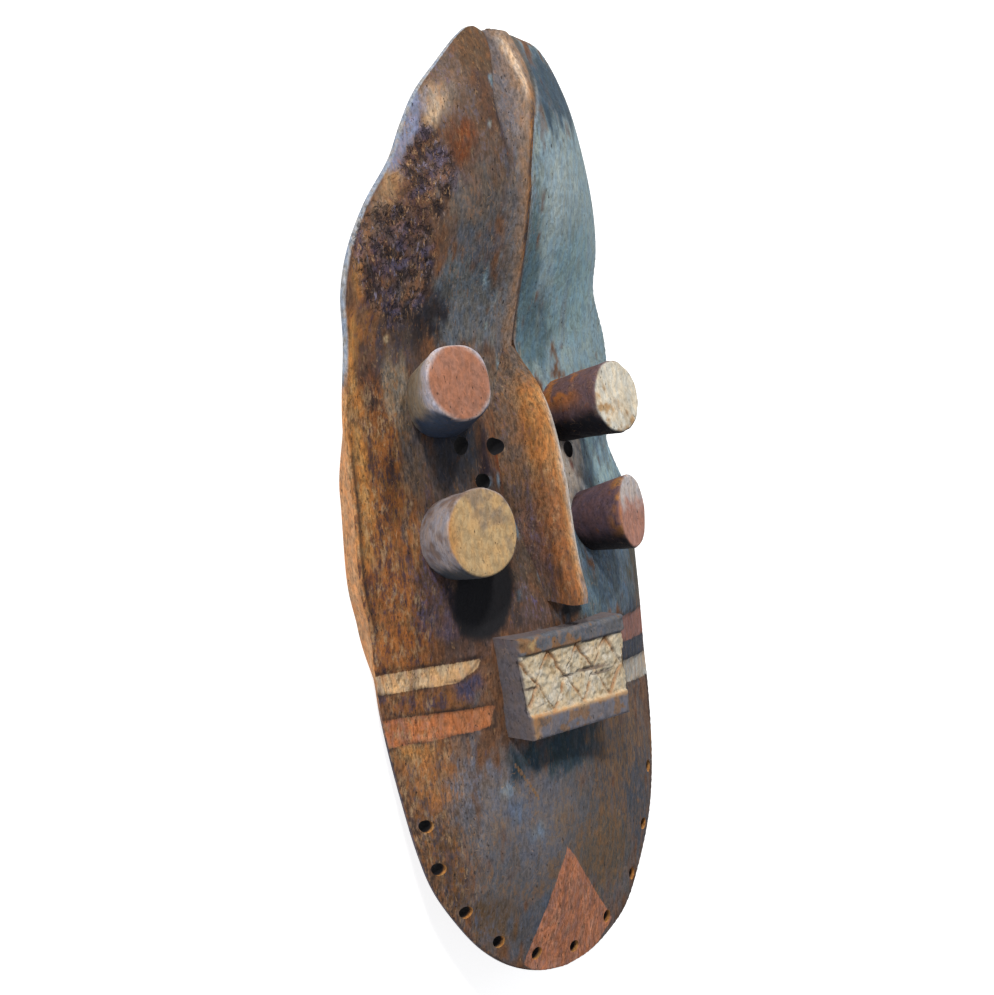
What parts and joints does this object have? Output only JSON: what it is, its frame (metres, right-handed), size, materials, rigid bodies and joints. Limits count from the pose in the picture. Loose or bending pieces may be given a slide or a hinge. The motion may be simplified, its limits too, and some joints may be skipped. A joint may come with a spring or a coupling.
{
  "type": "grebo mask",
  "caption": "Long carved wooden face mask with tube eyes, a blade nose, a toothed block mouth and a crested forehead, painted and worn, hollow at the back.",
  "frame": {"origin": "Centre of the underside of the bounding box. The mask lies on the flat middle stretch of its back rim.", "axes": "+Z out of the face, +Y towards the forehead, +X to the right of someone who looks at the face"},
  "size_m": [0.2992, 0.69, 0.0996],
  "materials": {
    "painted_wood": "dry carved wood with worn pigment in brown, slate blue, salmon and cream"
  },
  "bodies": {
    "root": {"mask": "painted_wood"}
  },
  "joints": []
}
